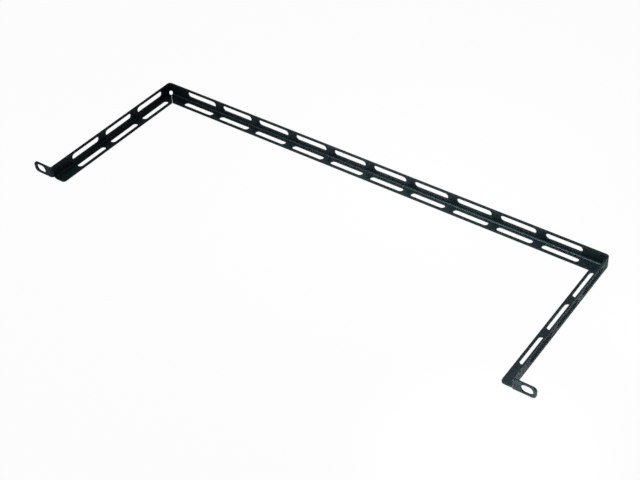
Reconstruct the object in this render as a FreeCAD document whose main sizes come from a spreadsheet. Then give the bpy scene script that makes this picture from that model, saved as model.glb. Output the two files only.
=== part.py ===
import FreeCAD, Part
import math
import os

import Sketcher

# Rack cable lacing bar: one strip of 1.5 mm steel, folded lengthwise into an L, bent into a
# shallow U and turned out at its two ends into mounting ears for a 19 inch rack.
# The frame is +X along the long run, -Y towards the ears, +Z up from the shelf's underside.
# The sketches put the back of the long run on Y = 0. The placement then moves the bar back by half
# its reach, so the frame's origin is under the middle of the bar, which is symmetrical about X = 0.
# The wall is the upright flange on the outside of the U. The shelf is the flat flange inside it.

SIZES = {
    # Sheet and section
    "sheet_thick": 1.5,
    "wall_high": 12.6,
    "shelf_wide": 11.3,
    "reach": 150.9,
    # Bends, as inside radii. The corners are rounder than the long fold by the ease.
    "fold_bend": 1.5,
    "corner_ease": 0.2,
    "ear_bend": 0.8,
    # Lacing slots. A rim is the metal left between a slot and the flange's free edge.
    "slot_long": 32.4,
    "slot_wide": 5.3,
    "slot_web": 8.24,
    "wall_rim": 1.85,
    "shelf_rim": 2.05,
    "run_end_land": 5.0,
    "arm_start_land": 1.25,
    # Relief at each corner: an oval opening through the fold and the mitre slit that runs into it
    "relief_wide": 3.1,
    "relief_tall": 3.7,
    "relief_up": 2.0,
    "slit_root": 0.06,
    "slit_mouth": 0.25,
    "mitre_tip_round": 1.0,
    # Ears. The hole span is the spacing of the holes in a 19 inch rack's rails.
    "ear_hole_span": 465.1,
    "ear_hole_long": 10.0,
    "ear_hole_wide": 7.3,
    "ear_land": 5.15,
    "ear_rim": 1.35,
    "ear_tip_rim": 2.45,
    "ear_corner_round": 3.3,
    "ear_relief": 0.3,
    "shelf_end_round": 2.8,
}


class Size:
    """A length in mm together with the spreadsheet formula that gives it."""

    def __init__(self, value, formula):
        self.value = value
        self.formula = formula

    def joined(self, other, sign, value):
        other_formula = other.formula if isinstance(other, Size) else repr(other)
        return Size(value, f"({self.formula} {sign} {other_formula})")

    def __add__(self, other):
        return self.joined(other, "+", self.value + number(other))

    def __sub__(self, other):
        return self.joined(other, "-", self.value - number(other))

    def __mul__(self, other):
        return self.joined(other, "*", self.value * number(other))

    def __truediv__(self, other):
        return self.joined(other, "/", self.value / number(other))

    def __neg__(self):
        return Size(-self.value, f"(-1 * {self.formula})")

    def __floor__(self):
        return Size(math.floor(self.value), f"floor({self.formula})")


def number(size):
    """The plain number of a Size or of a number."""
    return size.value if isinstance(size, Size) else size


def make_sheet(doc):
    """The spreadsheet of driving dimensions, one named cell each."""
    sheet = doc.addObject("Spreadsheet::Sheet", "Sizes")
    for row, (name, value) in enumerate(SIZES.items(), start=1):
        sheet.set(f"A{row}", name)
        sheet.set(f"B{row}", str(value))
        sheet.setAlias(f"B{row}", name)
    doc.recompute()
    return sheet


def sized(name):
    """The named cell as a Size."""
    return Size(float(SIZES[name]), f"Sizes.{name}")


NOTHING = Size(0.0, "0")
HALF_ROOT = math.sqrt(0.5)
THICK = sized("sheet_thick")
WALL_HIGH = sized("wall_high")
SHELF_WIDE = sized("shelf_wide")
REACH = sized("reach")

# Outside radii of the bends
FOLD_OUT = sized("fold_bend") + THICK
CORNER_OUT = FOLD_OUT + sized("corner_ease")
EAR_OUT = sized("ear_bend") + THICK

# The swept fold runs a little into the flat, and the flat starts a little past the fold's own
# edge, so that they overlap and the flat's corner stays inside the bend.
LAND_END = FOLD_OUT + sized("corner_ease") / 2
FLAT_START = FOLD_OUT + sized("corner_ease") / 3

# Across the bar: from the rack's holes in to the ear's bend, the arm's outside and the shelf's end
HOLE_OUT = sized("ear_hole_span") / 2
EAR_TIP = HOLE_OUT + sized("ear_hole_long") / 2 + sized("ear_tip_rim")
BEND_END = HOLE_OUT - sized("ear_hole_long") / 2 - sized("ear_land")
HALF_WIDE = BEND_END - sized("ear_bend")
SHELF_END = REACH - EAR_OUT - sized("ear_relief")
EAR_UNDERSIDE = WALL_HIGH - sized("ear_hole_wide") - sized("ear_rim") * 2

# Slots: their pitch, their middle lines and how many fit in half the long run and in an arm
PITCH = sized("slot_long") + sized("slot_web")
WALL_SLOT_UP = WALL_HIGH - sized("wall_rim") - sized("slot_wide") / 2
SHELF_SLOT_IN = SHELF_WIDE - sized("shelf_rim") - sized("slot_wide") / 2
ARM_SLOT_START = SHELF_WIDE + sized("arm_start_land")
HALF_RUN_COUNT = math.floor((HALF_WIDE - SHELF_WIDE - sized("run_end_land")) / PITCH)
ARM_COUNT = math.floor((SHELF_END - ARM_SLOT_START) / PITCH)


def origin_plane(body, role):
    """One of the body's own origin planes."""
    return next(part for part in body.Origin.OriginFeatures if part.Role == role)


def new_sketch(body, name, role, offset=None):
    """A sketch on one of the body's origin planes, moved along its normal by the size offset."""
    sketch = body.newObject("Sketcher::SketchObject", name)
    sketch.AttachmentSupport = (origin_plane(body, role), [""])
    sketch.MapMode = "FlatFace"
    if offset is not None:
        sketch.setExpression(".AttachmentOffset.Base.z", offset.formula)
    return sketch


def bind(sketch, constraint, size):
    """Adds a constraint whose value follows the size."""
    index = sketch.addConstraint(constraint)
    sketch.setExpression(f"Constraints[{index}]", size.formula)


def lock(sketch, shape, end, x, y):
    """Holds one point of a shape at x, y from the sketch's origin."""
    for kind, axis, size in (("DistanceX", -2, x), ("DistanceY", -1, y)):
        if size is NOTHING:
            sketch.addConstraint(Sketcher.Constraint("PointOnObject", shape, end, axis))
        elif size.value > 0:
            bind(sketch, Sketcher.Constraint(kind, -1, 1, shape, end, size.value), size)
        else:
            bind(sketch, Sketcher.Constraint(kind, shape, end, -1, 1, -size.value), -size)


def round_corner(before, corner, after, radius):
    """The arc of a radius tangent to both sides of a corner: its circle, ends and turning sense."""
    incoming = (corner - before).normalize()
    outgoing = (after - corner).normalize()
    turn = math.atan2(incoming.cross(outgoing).z, incoming.dot(outgoing))
    setback = radius * math.tan(abs(turn) / 2)
    start = corner - incoming * setback
    end = corner + outgoing * setback
    side = math.copysign(1.0, turn)
    centre = start + FreeCAD.Vector(-incoming.y, incoming.x, 0) * radius * side
    return centre, start, end, side


def outline(sketch, corners):
    """A closed outline through corners, each x, y and, where it is rounded, a radius."""
    points = [FreeCAD.Vector(number(c[0]), number(c[1]), 0) for c in corners]
    count = len(corners)
    arrive, leave, arcs = list(points), list(points), {}
    for i, corner in enumerate(corners):
        if len(corner) == 3:
            radius = corner[2]
            after = points[(i + 1) % count]
            centre, arrive[i], leave[i], side = round_corner(points[i - 1], points[i], after, radius.value)
            first, last = (arrive[i], leave[i]) if side > 0 else (leave[i], arrive[i])
            angles = [math.atan2(p.y - centre.y, p.x - centre.x) for p in (first, last)]
            circle = Part.Circle(centre, FreeCAD.Vector(0, 0, 1), radius.value)
            arcs[i] = (sketch.addGeometry(Part.ArcOfCircle(circle, *angles), False), side)
    lines = [
        sketch.addGeometry(Part.LineSegment(leave[i], arrive[(i + 1) % count]), False)
        for i in range(count)
    ]
    for i, corner in enumerate(corners):
        line_in, line_out = lines[i - 1], lines[i]
        if i not in arcs:
            sketch.addConstraint(Sketcher.Constraint("Coincident", line_in, 2, line_out, 1))
            lock(sketch, line_out, 1, corner[0], corner[1])
            continue
        arc, side = arcs[i]
        near, far = (1, 2) if side > 0 else (2, 1)
        tip = sketch.addGeometry(Part.Point(points[i]), True)
        lock(sketch, tip, 1, corner[0], corner[1])
        sketch.addConstraint(Sketcher.Constraint("PointOnObject", tip, 1, line_in))
        sketch.addConstraint(Sketcher.Constraint("PointOnObject", tip, 1, line_out))
        sketch.addConstraint(Sketcher.Constraint("Tangent", line_in, 2, arc, near))
        sketch.addConstraint(Sketcher.Constraint("Tangent", line_out, 1, arc, far))
        bind(sketch, Sketcher.Constraint("Radius", arc, corner[2].value), corner[2])


def slot_outline(sketch, x, y, length, width, along_x):
    """An oblong with round ends about x, y, its length along one axis of the sketch."""
    radius = width / 2
    half = (length - width) / 2
    step_x, step_y = (half, NOTHING) if along_x else (NOTHING, half)
    ends = [shifted(x, y, step_x, step_y, sign) for sign in (1, -1)]
    facing = 0.0 if along_x else math.pi / 2
    axis = FreeCAD.Vector(math.cos(facing), math.sin(facing), 0)
    side = FreeCAD.Vector(-axis.y, axis.x, 0) * radius.value
    centres = [FreeCAD.Vector(end[0].value, end[1].value, 0) for end in ends]
    arcs = []
    for centre, start in zip(centres, (facing - math.pi / 2, facing + math.pi / 2)):
        circle = Part.Circle(centre, FreeCAD.Vector(0, 0, 1), radius.value)
        arcs.append(sketch.addGeometry(Part.ArcOfCircle(circle, start, start + math.pi), False))
    over = sketch.addGeometry(Part.LineSegment(centres[0] + side, centres[1] + side), False)
    under = sketch.addGeometry(Part.LineSegment(centres[1] - side, centres[0] - side), False)
    sketch.addConstraint(Sketcher.Constraint("Tangent", arcs[0], 2, over, 1))
    sketch.addConstraint(Sketcher.Constraint("Tangent", over, 2, arcs[1], 1))
    sketch.addConstraint(Sketcher.Constraint("Tangent", arcs[1], 2, under, 1))
    sketch.addConstraint(Sketcher.Constraint("Tangent", under, 2, arcs[0], 1))
    sketch.addConstraint(Sketcher.Constraint("Equal", arcs[0], arcs[1]))
    bind(sketch, Sketcher.Constraint("Radius", arcs[0], radius.value), radius)
    for arc, end in zip(arcs, ends):
        lock(sketch, arc, 3, *end)


def shifted(x, y, step_x, step_y, sign):
    """The point x, y moved by a step in the sense of sign, leaving a zero step out."""
    moved = []
    for place, step in ((x, step_x), (y, step_y)):
        if step is NOTHING:
            moved.append(place)
        else:
            moved.append(place + step if sign > 0 else place - step)
    return moved


def add_pad(body, name, sketch, length):
    """A pad of a sketch along its normal."""
    pad = body.newObject("PartDesign::Pad", name)
    pad.Profile = sketch
    pad.setExpression("Length", length.formula)
    return pad


def add_cut(body, name, sketch, depth=None):
    """A pocket of a sketch along its normal, through all or to a depth."""
    cut = body.newObject("PartDesign::Pocket", name)
    cut.Profile = sketch
    cut.Reversed = True
    if depth is None:
        cut.Type = "ThroughAll"
    else:
        cut.setExpression("Length", depth.formula)
    return cut


def add_row(body, name, cut, axis, count, reverse=False):
    """A row of a cut along an axis of its sketch at the slots' pitch."""
    sketch = cut.Profile[0]
    row = body.newObject("PartDesign::LinearPattern", name)
    row.Originals = [cut]
    row.Direction = (sketch, [axis])
    row.Reversed = reverse
    row.setExpression("Occurrences", count.formula)
    row.setExpression("Length", (PITCH * (count - 1)).formula)
    body.Tip = row
    return row


def add_wall_and_fold(body):
    """The wall with the long fold under it, swept from the middle round the corner along the arm."""
    path = new_sketch(body, "WallPath", "XY_Plane")
    straight_end = HALF_WIDE - CORNER_OUT
    centre = FreeCAD.Vector(straight_end.value, -CORNER_OUT.value, 0)
    circle = Part.Circle(centre, FreeCAD.Vector(0, 0, 1), CORNER_OUT.value)
    points = [
        FreeCAD.Vector(0, 0, 0),
        FreeCAD.Vector(straight_end.value, 0, 0),
        FreeCAD.Vector(HALF_WIDE.value, -CORNER_OUT.value, 0),
        FreeCAD.Vector(HALF_WIDE.value, -SHELF_END.value, 0),
    ]
    back = path.addGeometry(Part.LineSegment(points[0], points[1]), False)
    bend = path.addGeometry(Part.ArcOfCircle(circle, 0, math.pi / 2), False)
    arm = path.addGeometry(Part.LineSegment(points[2], points[3]), False)
    path.addConstraint(Sketcher.Constraint("Coincident", back, 1, -1, 1))
    path.addConstraint(Sketcher.Constraint("Horizontal", back))
    path.addConstraint(Sketcher.Constraint("Tangent", back, 2, bend, 2))
    path.addConstraint(Sketcher.Constraint("Tangent", bend, 1, arm, 1))
    path.addConstraint(Sketcher.Constraint("Vertical", arm))
    bind(path, Sketcher.Constraint("Radius", bend, CORNER_OUT.value), CORNER_OUT)
    lock(path, arm, 2, HALF_WIDE, -SHELF_END)

    section = new_sketch(body, "WallSection", "YZ_Plane")
    outline(
        section,
        [
            (NOTHING, WALL_HIGH),
            (NOTHING, NOTHING, FOLD_OUT),
            (-LAND_END, NOTHING),
            (-LAND_END, THICK),
            (-THICK, THICK, sized("fold_bend")),
            (-THICK, WALL_HIGH),
        ],
    )
    sweep = body.newObject("PartDesign::AdditivePipe", "WallAndFold")
    sweep.Profile = section
    sweep.Spine = path
    return sweep


def add_shelf(body):
    """The shelf along the run and the arm. The slit at the corner parts its two lengths later."""
    shelf = new_sketch(body, "ShelfPlan", "XY_Plane")
    outline(
        shelf,
        [
            (NOTHING, -FLAT_START),
            (NOTHING, -SHELF_WIDE),
            (HALF_WIDE - SHELF_WIDE, -SHELF_WIDE),
            (HALF_WIDE - SHELF_WIDE, -SHELF_END, sized("shelf_end_round")),
            (HALF_WIDE - FLAT_START, -SHELF_END),
            (HALF_WIDE - FLAT_START, -FLAT_START),
        ],
    )
    return add_pad(body, "Shelf", shelf, THICK)


def add_ear(body):
    """The end of the arm's wall, bent outwards, and the flat ear with its oblong fixing hole."""
    land = BEND_END + THICK / 2
    bend = new_sketch(body, "EarBendPlan", "XY_Plane", EAR_UNDERSIDE)
    outline(
        bend,
        [
            (HALF_WIDE, -SHELF_END),
            (HALF_WIDE - THICK, -SHELF_END),
            (HALF_WIDE - THICK, -REACH, EAR_OUT),
            (land, -REACH),
            (land, -(REACH - THICK)),
            (HALF_WIDE, -(REACH - THICK), sized("ear_bend")),
        ],
    )
    add_pad(body, "EarBend", bend, WALL_HIGH - EAR_UNDERSIDE)

    plate = new_sketch(body, "EarPlate", "XZ_Plane", REACH - THICK)
    rounding = sized("ear_corner_round")
    outline(
        plate,
        [
            (BEND_END, EAR_UNDERSIDE),
            (EAR_TIP, EAR_UNDERSIDE, rounding),
            (EAR_TIP, WALL_HIGH, rounding),
            (BEND_END, WALL_HIGH),
        ],
    )
    middle = (WALL_HIGH + EAR_UNDERSIDE) / 2
    slot_outline(plate, HOLE_OUT, middle, sized("ear_hole_long"), sized("ear_hole_wide"), True)
    return add_pad(body, "Ear", plate, THICK)


def add_relief(body):
    """The oval opening that slopes down and out through the corner, and the slit up to it."""
    start_up = sized("relief_up") + (SHELF_WIDE - THICK) * math.sqrt(2)
    outwards = FreeCAD.Rotation(FreeCAD.Vector(0, 1, 0), 135)
    downwards = FreeCAD.Rotation(FreeCAD.Vector(1, 0, 0), 45)
    oval = new_sketch(body, "ReliefOval", "XZ_Plane", SHELF_WIDE)
    oval.AttachmentOffset = FreeCAD.Placement(FreeCAD.Vector(), outwards * downwards)
    oval.setExpression(".AttachmentOffset.Base.x", (HALF_WIDE - SHELF_WIDE).formula)
    oval.setExpression(".AttachmentOffset.Base.y", start_up.formula)
    slot_outline(oval, NOTHING, NOTHING, sized("relief_tall"), sized("relief_wide"), False)
    add_cut(body, "ReliefOpening", oval)

    # The slit starts inside the opening, widens to the shelf's inner corner and ends in two
    # rounded tips. The sketch is closed by a line across the free space inside the corner.
    root = sized("slit_root") * HALF_ROOT
    mouth = sized("slit_mouth") * HALF_ROOT
    tip = sized("mitre_tip_round")
    slit = new_sketch(body, "MitreSlitPlan", "XY_Plane")
    outline(
        slit,
        [
            (HALF_WIDE - THICK, -(THICK + root)),
            (HALF_WIDE - SHELF_WIDE, -(SHELF_WIDE + mouth), tip),
            (HALF_WIDE - SHELF_WIDE, -(SHELF_WIDE + tip * 3)),
            (HALF_WIDE - SHELF_WIDE - tip * 3, -SHELF_WIDE),
            (HALF_WIDE - SHELF_WIDE - mouth, -SHELF_WIDE, tip),
            (HALF_WIDE - THICK - root, -THICK),
        ],
    )
    return add_cut(body, "MitreSlit", slit, FOLD_OUT)


def add_slot_row(body, name, role, x, y, along_x, axis, count, reverse=False):
    """A row of lacing slots, the first about x, y on one of the origin planes."""
    first = new_sketch(body, name + "Outline", role)
    slot_outline(first, x, y, sized("slot_long"), sized("slot_wide"), along_x)
    cut = add_cut(body, name, first)
    return add_row(body, name + "Row", cut, axis, count, reverse)


def add_slots(body):
    """The four rows of lacing slots of one half: wall and shelf, on the long run and the arm."""
    run_x = PITCH / 2
    arm_y = -(ARM_SLOT_START + sized("slot_long") / 2)
    arm_x = HALF_WIDE - SHELF_SLOT_IN
    add_slot_row(body, "RunWallSlot", "XZ_Plane", run_x, WALL_SLOT_UP, True, "H_Axis", HALF_RUN_COUNT)
    add_slot_row(body, "RunShelfSlot", "XY_Plane", run_x, -SHELF_SLOT_IN, True, "H_Axis", HALF_RUN_COUNT)
    add_slot_row(body, "ArmWallSlot", "YZ_Plane", arm_y, WALL_SLOT_UP, True, "H_Axis", ARM_COUNT, True)
    add_slot_row(body, "ArmShelfSlot", "XY_Plane", arm_x, arm_y, False, "V_Axis", ARM_COUNT, True)


def add_other_half(body):
    """The mirror image of the half across the plane X = 0."""
    mirror = body.newObject("PartDesign::Mirrored", "BothHalves")
    mirror.MirrorPlane = (origin_plane(body, "YZ_Plane"), [""])
    mirror.TransformMode = "Whole shape"
    body.Tip = mirror
    return mirror


def check(doc, body):
    """Stops where an object failed, a feature changed nothing or the bar isn't one solid."""
    for thing in doc.Objects:
        if "Invalid" in thing.State or "Error" in thing.State:
            raise RuntimeError(f"{thing.Name} failed: {thing.State} {thing.getStatusString()}")
    for feature in body.Group:
        base = getattr(feature, "BaseFeature", None)
        if base is not None and abs(feature.Shape.Volume - base.Shape.Volume) < 0.01:
            raise RuntimeError(f"{feature.Name} changes nothing")
    shape = body.Shape
    if shape.isNull() or not shape.isValid() or len(shape.Solids) != 1:
        raise RuntimeError("the bar is not one valid solid")


def main():
    doc = FreeCAD.newDocument("LacingBar")
    make_sheet(doc)
    body = doc.addObject("PartDesign::Body", "LacingBar")
    body.Label = "lacing_bar"
    body.setExpression(".Placement.Base.y", (REACH / 2).formula)
    add_wall_and_fold(body)
    add_shelf(body)
    add_ear(body)
    add_relief(body)
    add_slots(body)
    doc.recompute()
    add_other_half(body)
    doc.recompute()
    check(doc, body)
    os.makedirs("parts", exist_ok=True)
    body.Shape.exportStep(f"parts/{body.Label}.step")


main()
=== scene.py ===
import math

import bpy
from mathutils import Matrix, Vector

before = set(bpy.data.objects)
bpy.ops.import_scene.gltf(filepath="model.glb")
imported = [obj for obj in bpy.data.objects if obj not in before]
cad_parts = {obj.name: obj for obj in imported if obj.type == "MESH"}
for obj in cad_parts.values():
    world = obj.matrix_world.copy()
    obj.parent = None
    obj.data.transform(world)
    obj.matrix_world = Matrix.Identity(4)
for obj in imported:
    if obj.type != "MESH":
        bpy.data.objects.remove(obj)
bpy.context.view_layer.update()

MM = 0.001
WHITE = "ffffff"

# The camera that the photograph's outline was fitted with, in this part's frame. Angles are in
# degrees, the place in metres, the focal length and the picture's middle column in pixels.
IMAGE_WIDE = 640
VIEW_AZIMUTH = 33.6436
VIEW_ELEVATION = 41.0878
VIEW_ROLL = -0.9092
VIEW_PLACE = (0.485955, -0.601492, 0.650382)
VIEW_FOCAL_PIXELS = 1251.53
VIEW_MIDDLE_PIXEL = 407
VIEW_CLIP = (0.01, 50)

# The coat's two blue-blacks, the range of its roughness, and the tint of what it mirrors.
COAT_DARK = "001014"
COAT_LIGHT = "04191d"
COAT_ROUGHNESS = (0.38, 0.46)
COAT_IOR = 1.5
COAT_SHEEN = "f1fdff"

# The sizes of the coat's cloudiness and of its orange peel are usual ones. Its powder grains are
# about 0.05 mm, too fine to show, so the grit is drawn as coarse as it needs to show.
CLOUD_SIZE = 14 * MM
PEEL_SIZE = 1.6 * MM
PEEL_DEPTH = 0.03 * MM
GRIT_SIZE = 0.45 * MM
GRIT_DEPTH = 0.01 * MM
BUMP_STRENGTH = 0.3

# Points closer than the first are one point, and faces that turn less than the second are one
# flat. Edges that turn more than the last, in degrees, are rounded. A rounding of 0.2 mm throws
# points off the short edges at the ears' feet.
JOIN_DISTANCE = 0.01 * MM
FLAT_ANGLE = 0.5
EDGE_ROUND = 0.08 * MM
EDGE_STEPS = 2
EDGE_ANGLE = 50

# The floor lies just below the bar. The eye sees this share of it as pure white, and the rest as
# lit paper, which keeps the shadow.
FLOOR_HALF = 6.0
FLOOR_DROP = 0.2 * MM
FLOOR_PAPER = "c8c8c8"
FLOOR_WHITE_SHARE = 0.97

# The room's level, and the heights between which the gloss sees the white fade to it.
ROOM_LEVEL = 0.02
FADE_FROM, FADE_TO = 0.05, 0.35

# Each lamp's name, place, aim, width, watts and spread in degrees. The bare floor next to the
# ears and the right arm shows in their gloss, so the small lamps with grids light it there.
LAMP_LIGHT = "ecf8ff"
NO_GRID = 180
LAMPS = (
    ("front_softbox", (-0.5, -0.95, 0.98), (-0.05, 0.07, 0), 0.4, 0.9, 70),
    ("side_softbox", (-0.5, 0.72, 0.8), (-0.06, 0, 0), 0.47, 1.0, NO_GRID),
    ("back_softbox", (-0.25, 0.75, 1.0), (0.05, 0, 0), 0.7, 0.27, NO_GRID),
    ("top_grid_lamp", (0.06, -0.05, 0.8), (0.06, 0.07, 0), 0.3, 0.45, 32),
    ("right_ear_lamp", (0.24, -0.17, 0.4), (0.24, -0.14, 0), 0.08, 0.175, 24),
    ("left_ear_lamp", (-0.26, -0.14, 0.5), (-0.26, -0.12, 0), 0.1, 0.022, 26),
    ("right_side_lamp", (0.32, 0.04, 0.4), (0.29, 0.03, 0), 0.1, 0.05, 24),
)


def from_hex(text):
    """A colour written as sRGB hex, as the linear red, green, blue and alpha that Blender takes."""
    parts = [int(text[i : i + 2], 16) / 255 for i in (0, 2, 4)]
    linear = [c / 12.92 if c <= 0.04045 else ((c + 0.055) / 1.055) ** 2.4 for c in parts]
    return (*linear, 1.0)


def add_node(tree, kind, settings=None, **links):
    """A node with its settings and inputs. An input given as a socket is linked, else it is set.

    An input is named, with _ for a space, or numbered after a _.
    """
    node = tree.nodes.new(kind)
    for name, value in (settings or {}).items():
        setattr(node, name, value)
    for name, value in links.items():
        key = int(name[1:]) if name[1:].isdigit() else name.replace("_", " ")
        socket = node.inputs[key]
        if isinstance(value, bpy.types.NodeSocket):
            tree.links.new(value, socket)
        else:
            socket.default_value = value
    return node


def new_material(name):
    """A node material with no nodes yet, and its node tree."""
    material = bpy.data.materials.new(name)
    material.use_nodes = True
    material.node_tree.nodes.clear()
    return material, material.node_tree


def black_powder_coat():
    """Semi-gloss black polyester powder coat, sprayed on as dust and baked until it flows together.

    It gives the eye a near-black skin with a cold tint, a soft sheen that brightens at grazing
    angles, and a shallow orange peel with finer grit on it.
    """
    material, tree = new_material("black_powder_coat")
    place = add_node(tree, "ShaderNodeTexCoord").outputs["Object"]
    cloud = add_node(
        tree, "ShaderNodeTexNoise", Vector=place, Scale=1 / CLOUD_SIZE, Detail=3.0
    ).outputs["Fac"]
    peel = add_node(tree, "ShaderNodeTexNoise", Vector=place, Scale=1 / PEEL_SIZE, Detail=1.0)
    grit = add_node(tree, "ShaderNodeTexNoise", Vector=place, Scale=1 / GRIT_SIZE, Detail=2.0)
    colour = add_node(
        tree,
        "ShaderNodeMix",
        {"data_type": "RGBA"},
        _0=cloud,
        _6=from_hex(COAT_DARK),
        _7=from_hex(COAT_LIGHT),
    )
    smooth, dull = COAT_ROUGHNESS
    sheen = add_node(tree, "ShaderNodeMapRange", Value=cloud, To_Min=smooth, To_Max=dull)
    waves = add_node(
        tree,
        "ShaderNodeBump",
        Strength=BUMP_STRENGTH,
        Distance=PEEL_DEPTH,
        Height=peel.outputs["Fac"],
    )
    skin = add_node(
        tree,
        "ShaderNodeBump",
        Strength=BUMP_STRENGTH,
        Distance=GRIT_DEPTH,
        Height=grit.outputs["Fac"],
        Normal=waves.outputs["Normal"],
    )
    shader = add_node(
        tree,
        "ShaderNodeBsdfPrincipled",
        Base_Color=colour.outputs[2],
        Roughness=sheen.outputs["Result"],
        IOR=COAT_IOR,
        Specular_Tint=from_hex(COAT_SHEEN),
        Normal=skin.outputs["Normal"],
    )
    add_node(tree, "ShaderNodeOutputMaterial", Surface=shader.outputs["BSDF"])
    return material


def coat_edges(bar):
    """Rounds the sheet's sharp edges as a fused coat does, and shades flats and bends evenly."""
    joined = bar.modifiers.new("joined_points", "WELD")
    joined.merge_threshold = JOIN_DISTANCE
    flats = bar.modifiers.new("whole_flats", "DECIMATE")
    flats.decimate_type = "DISSOLVE"
    flats.angle_limit = math.radians(FLAT_ANGLE)
    edges = bar.modifiers.new("coated_edges", "BEVEL")
    edges.width = EDGE_ROUND
    edges.segments = EDGE_STEPS
    edges.limit_method = "ANGLE"
    edges.angle_limit = math.radians(EDGE_ANGLE)
    edges.use_clamp_overlap = False
    even = bar.modifiers.new("even_shading", "WEIGHTED_NORMAL")
    even.keep_sharp = False


def add_camera():
    """The camera at the photograph's viewing angle."""
    azimuth, elevation = math.radians(VIEW_AZIMUTH), math.radians(VIEW_ELEVATION)
    back = Vector(
        (
            math.sin(azimuth) * math.cos(elevation),
            -math.cos(azimuth) * math.cos(elevation),
            math.sin(elevation),
        )
    )
    level = (-back).to_track_quat("-Z", "Y").to_matrix()
    turned = level @ Matrix.Rotation(math.radians(VIEW_ROLL), 3, "Z")
    data = bpy.data.cameras.new("photo_view")
    data.sensor_fit = "HORIZONTAL"
    data.lens = VIEW_FOCAL_PIXELS * data.sensor_width / IMAGE_WIDE
    data.shift_x = 0.5 - VIEW_MIDDLE_PIXEL / IMAGE_WIDE
    data.clip_start, data.clip_end = VIEW_CLIP
    camera = bpy.data.objects.new("photo_view", data)
    camera.matrix_world = Matrix.Translation(VIEW_PLACE) @ turned.to_4x4()
    bpy.context.scene.collection.objects.link(camera)
    bpy.context.scene.camera = camera


def add_lamp(name, place, aim, size, power, spread):
    """A square soft lamp at a place, turned to shine at a point. A grid narrows its spread."""
    data = bpy.data.lights.new(name, "AREA")
    data.size = size
    data.energy = power
    data.color = from_hex(LAMP_LIGHT)[:3]
    data.spread = math.radians(spread)
    lamp = bpy.data.objects.new(name, data)
    lamp.location = place
    lamp.rotation_mode = "QUATERNION"
    lamp.rotation_quaternion = (Vector(aim) - Vector(place)).to_track_quat("-Z", "Y")
    bpy.context.scene.collection.objects.link(lamp)


def add_floor():
    """A plain pale floor that shows white to the eye and keeps a faint shadow."""
    half, low = FLOOR_HALF, -FLOOR_DROP
    corners = [(-half, -half, low), (half, -half, low), (half, half, low), (-half, half, low)]
    mesh = bpy.data.meshes.new("floor")
    mesh.from_pydata(corners, [], [(0, 1, 2, 3)])
    floor = bpy.data.objects.new("floor", mesh)
    bpy.context.scene.collection.objects.link(floor)
    material, tree = new_material("white_paper_sweep")
    ray = add_node(tree, "ShaderNodeLightPath")
    seen = add_node(
        tree,
        "ShaderNodeMath",
        {"operation": "MULTIPLY"},
        _0=ray.outputs["Is Camera Ray"],
        _1=FLOOR_WHITE_SHARE,
    )
    paper = add_node(tree, "ShaderNodeBsdfDiffuse", Color=from_hex(FLOOR_PAPER))
    white = add_node(tree, "ShaderNodeEmission", Color=from_hex(WHITE), Strength=1.0)
    both = add_node(
        tree,
        "ShaderNodeMixShader",
        _0=seen.outputs[0],
        _1=paper.outputs[0],
        _2=white.outputs[0],
    )
    add_node(tree, "ShaderNodeOutputMaterial", Surface=both.outputs[0])
    mesh.materials.append(material)


def set_world():
    """A dim grey room for the lighting, white where the eye, glass or gloss looks past the floor.

    Above the horizon the gloss sees the white fade to the grey of a studio ceiling.
    """
    world = bpy.data.worlds.new("studio")
    world.use_nodes = True
    tree = world.node_tree
    tree.nodes.clear()
    ray = add_node(tree, "ShaderNodeLightPath")
    facing = add_node(tree, "ShaderNodeTexCoord").outputs["Generated"]
    height = add_node(tree, "ShaderNodeSeparateXYZ", Vector=facing).outputs["Z"]
    fade = add_node(
        tree,
        "ShaderNodeMapRange",
        Value=height,
        From_Min=FADE_FROM,
        From_Max=FADE_TO,
        To_Min=1.0,
        To_Max=ROOM_LEVEL,
    ).outputs["Result"]
    white = from_hex(WHITE)
    room = add_node(tree, "ShaderNodeBackground", Color=white, Strength=ROOM_LEVEL)
    backdrop = add_node(tree, "ShaderNodeBackground", Color=white, Strength=1.0)
    ceiling = add_node(tree, "ShaderNodeBackground", Color=white, Strength=fade)
    shiny = add_node(
        tree,
        "ShaderNodeMath",
        {"operation": "MAXIMUM"},
        _0=ray.outputs["Is Glossy Ray"],
        _1=ray.outputs["Is Transmission Ray"],
    )
    gloss = add_node(
        tree,
        "ShaderNodeMixShader",
        _0=shiny.outputs[0],
        _1=room.outputs[0],
        _2=ceiling.outputs[0],
    )
    both = add_node(
        tree,
        "ShaderNodeMixShader",
        _0=ray.outputs["Is Camera Ray"],
        _1=gloss.outputs[0],
        _2=backdrop.outputs[0],
    )
    add_node(tree, "ShaderNodeOutputWorld", Surface=both.outputs[0])
    bpy.context.scene.world = world


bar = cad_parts["lacing_bar"]
bar.material_slots[0].material = black_powder_coat()
coat_edges(bar)

add_camera()
add_floor()
set_world()
for lamp in LAMPS:
    add_lamp(*lamp)

bpy.context.scene.view_settings.view_transform = "Standard"
